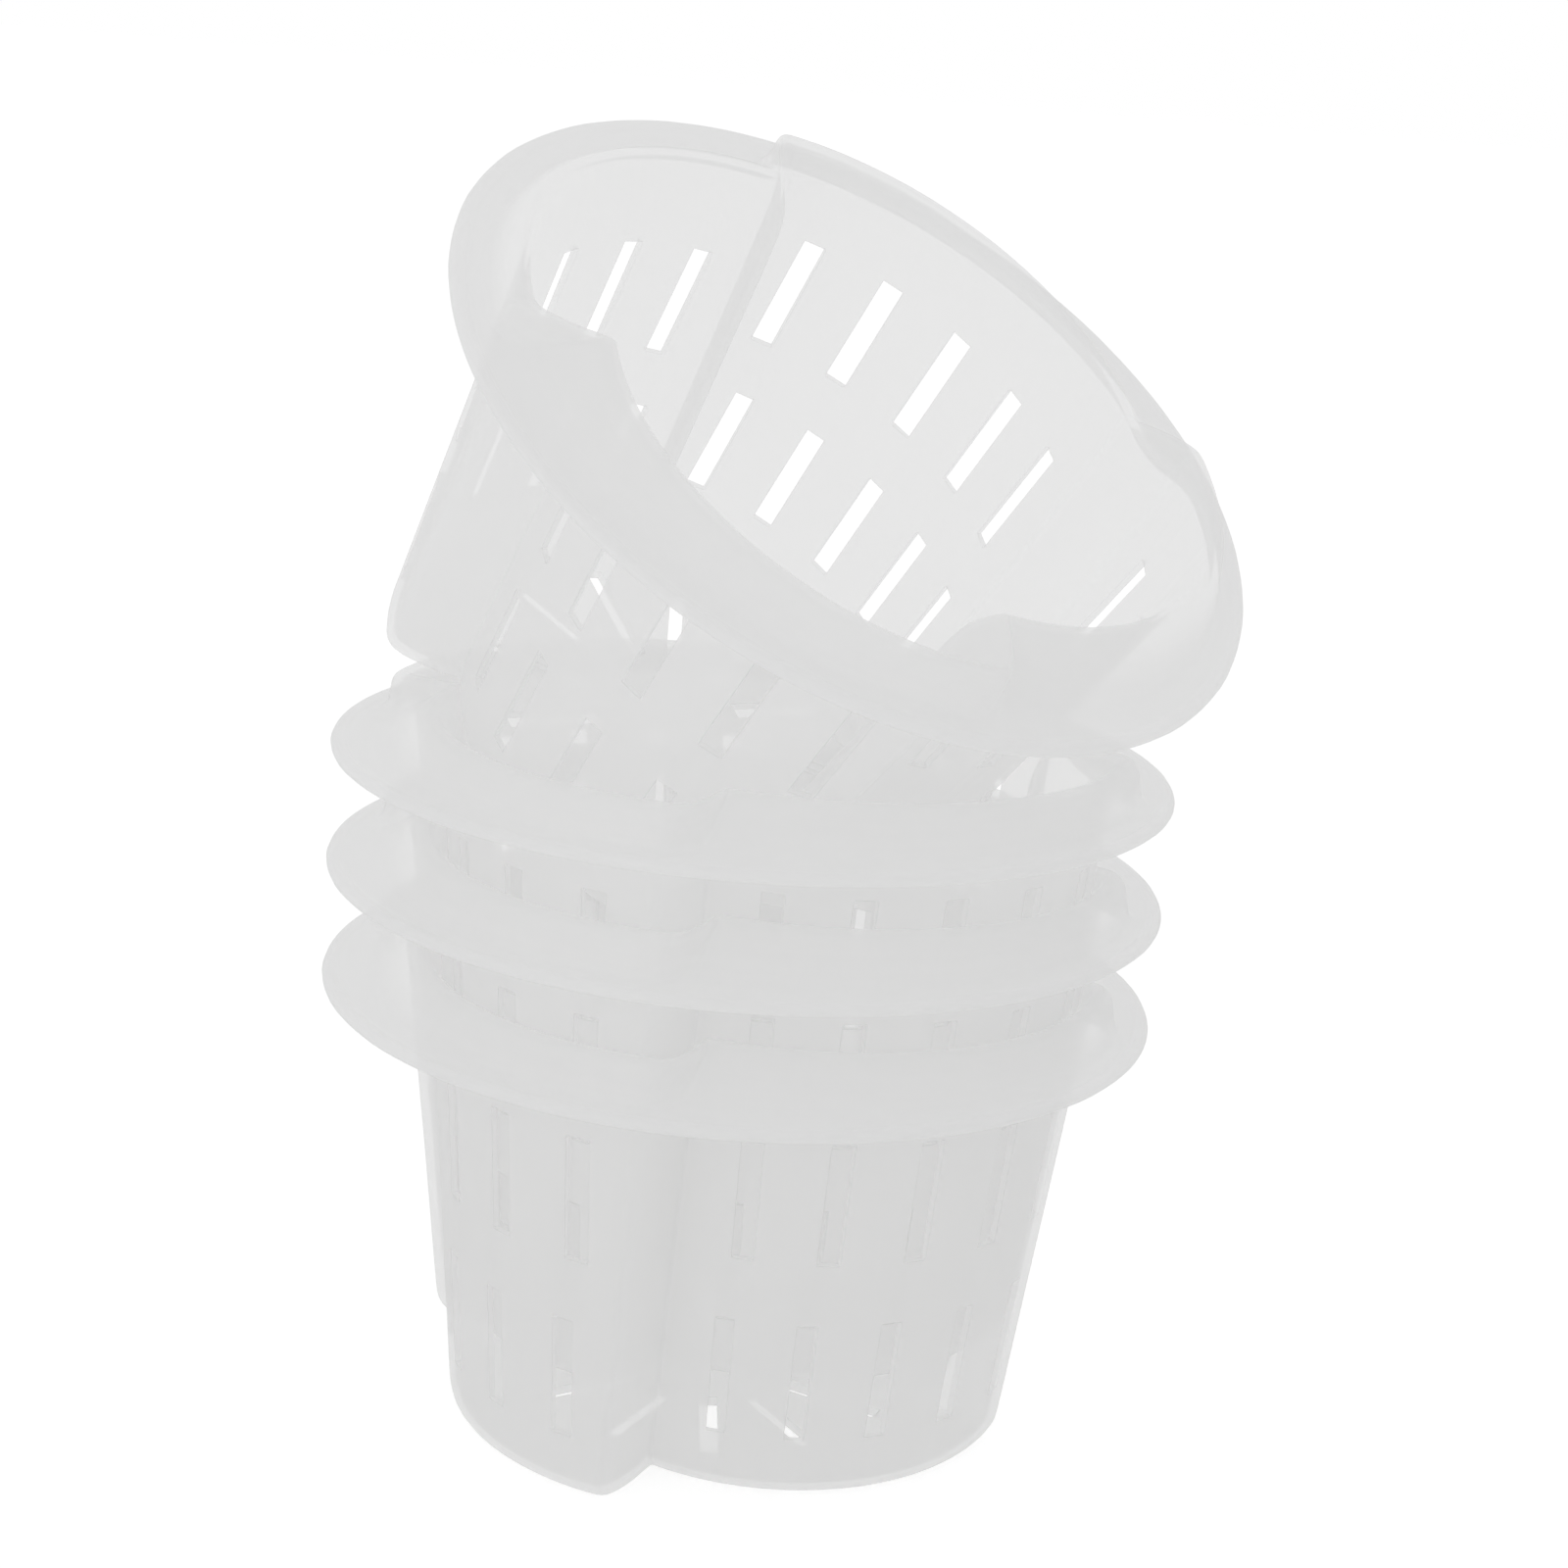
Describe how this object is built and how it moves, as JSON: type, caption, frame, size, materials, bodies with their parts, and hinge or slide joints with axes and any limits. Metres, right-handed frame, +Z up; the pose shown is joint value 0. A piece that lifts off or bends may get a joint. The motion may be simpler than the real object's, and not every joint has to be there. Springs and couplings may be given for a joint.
{
  "type": "cheese mold",
  "caption": "Round slotted draining baskets for moulding soft cheese, each with swirled quarters and a wide folded rim, nested in a stack with one tilted on top.",
  "frame": {"origin": "centre of the lowest basket's flat base, on the surface that the stack stands on", "axes": "+Z up the stack's axis, -Y towards the front that the tilted basket leans forward over, +X to the right seen from the front"},
  "size_m": [0.1364, 0.136, 0.1977],
  "materials": {
    "basket_plastic": "satin milky white polypropylene that lets a little light through"
  },
  "bodies": {
    "bottom": {"basket_bottom": "basket_plastic"},
    "second": {"basket_second": "basket_plastic"},
    "third": {"basket_third": "basket_plastic"},
    "tilted": {"basket_tilted": "basket_plastic"}
  },
  "joints": [
    {"name": "second_lift", "type": "slide", "parent": "bottom", "child": "second", "axis": [0, 0, 1], "range_m": [0, 0.06]},
    {"name": "third_lift", "type": "slide", "parent": "second", "child": "third", "axis": [0, 0, 1], "range_m": [0, 0.06]},
    {"name": "tilted_lift", "type": "slide", "parent": "third", "child": "tilted", "axis": [0, 0, 1], "range_m": [0, 0.06]}
  ]
}
